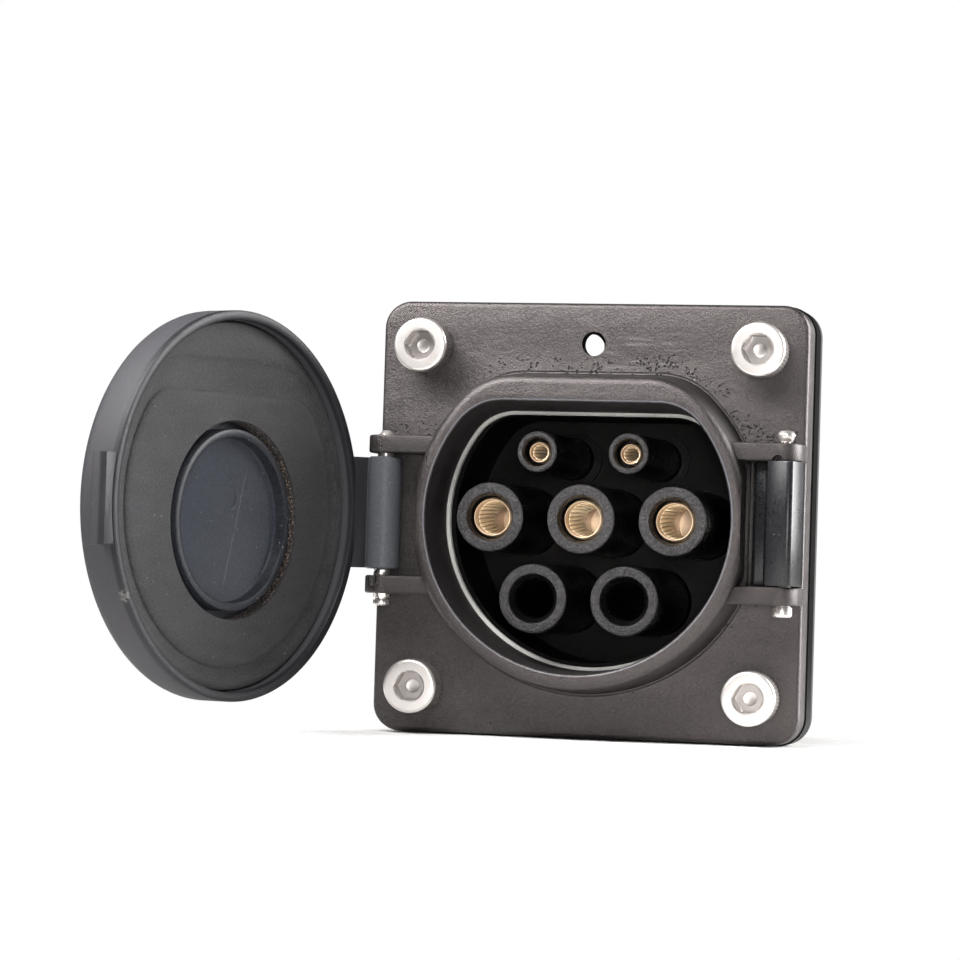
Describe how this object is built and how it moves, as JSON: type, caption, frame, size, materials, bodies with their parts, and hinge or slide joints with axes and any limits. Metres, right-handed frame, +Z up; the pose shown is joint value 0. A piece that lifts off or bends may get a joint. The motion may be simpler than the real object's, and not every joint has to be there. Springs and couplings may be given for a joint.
{
  "type": "ev charging inlet socket",
  "caption": "Panel-mounted vehicle charging inlet with a D-shaped shroud, brass contacts in insulating towers, and a sprung lid held by a latch.",
  "frame": {"origin": "centre of the screw pattern on the back of the panel gasket, where the vehicle panel lies", "axes": "+Z up, -Y out of the panel towards the user, +X towards the latch side"},
  "size_m": [0.1155, 0.1192, 0.0806],
  "materials": {
    "frame_coat": "die-cast, black textured coat",
    "carrier_moulding": "glossy black moulding",
    "sleeve_moulding": "satin black moulding",
    "lid_moulding": "satin blue-black moulding",
    "foam_seal": "closed-cell foam, dark grey",
    "pale_seal": "pale grey rubber",
    "black_seal": "black rubber",
    "brass": "turned, bright",
    "spring_brass": "bright strip",
    "stainless": "bright stainless",
    "spring_steel": "blackened spring wire"
  },
  "bodies": {
    "root": {"front_frame": "frame_coat", "shroud_gasket": "pale_seal", "contact_carrier": "carrier_moulding", "panel_gasket": "black_seal", "power_sleeve_live": "sleeve_moulding", "power_sleeve_earth": "sleeve_moulding", "power_sleeve_neutral": "sleeve_moulding", "signal_sleeve_left": "sleeve_moulding", "signal_sleeve_right": "sleeve_moulding", "spare_sleeve_left": "sleeve_moulding", "spare_sleeve_right": "sleeve_moulding", "power_contact_live": "brass", "power_contact_earth": "brass", "power_contact_neutral": "brass", "signal_contact_left": "brass", "signal_contact_right": "brass", "power_crown_live": "spring_brass", "power_crown_earth": "spring_brass", "power_crown_neutral": "spring_brass", "signal_crown_left": "spring_brass", "signal_crown_right": "spring_brass", "contact_retainer": "carrier_moulding", "retainer_screw_1": "stainless", "retainer_screw_2": "stainless", "retainer_screw_3": "stainless", "flange_screw_top_left": "stainless", "flange_screw_top_right": "stainless", "flange_screw_bottom_left": "stainless", "flange_screw_bottom_right": "stainless", "hinge_pin": "stainless", "latch_pin": "stainless", "latch_pin_cap": "stainless", "lid_spring": "spring_steel"},
    "lid": {"lid_shell": "lid_moulding", "lid_gasket": "foam_seal"},
    "latch": {"latch_lever": "lid_moulding", "latch_spring": "spring_steel"}
  },
  "joints": [
    {"name": "lid_hinge", "type": "hinge", "parent": "root", "child": "lid", "pos_m": [-0.0375, -0.0194, 0], "axis": [0, 0, 1], "range_deg": [0, 111], "stiffness_Nm_per_rad": 0.004, "springref_deg": -34.38},
    {"name": "latch_pivot", "type": "hinge", "parent": "root", "child": "latch", "pos_m": [0.0371, -0.0194, 0], "axis": [0, 0, 1], "range_deg": [0, 25], "stiffness_Nm_per_rad": 0.004, "springref_deg": -22.92}
  ]
}
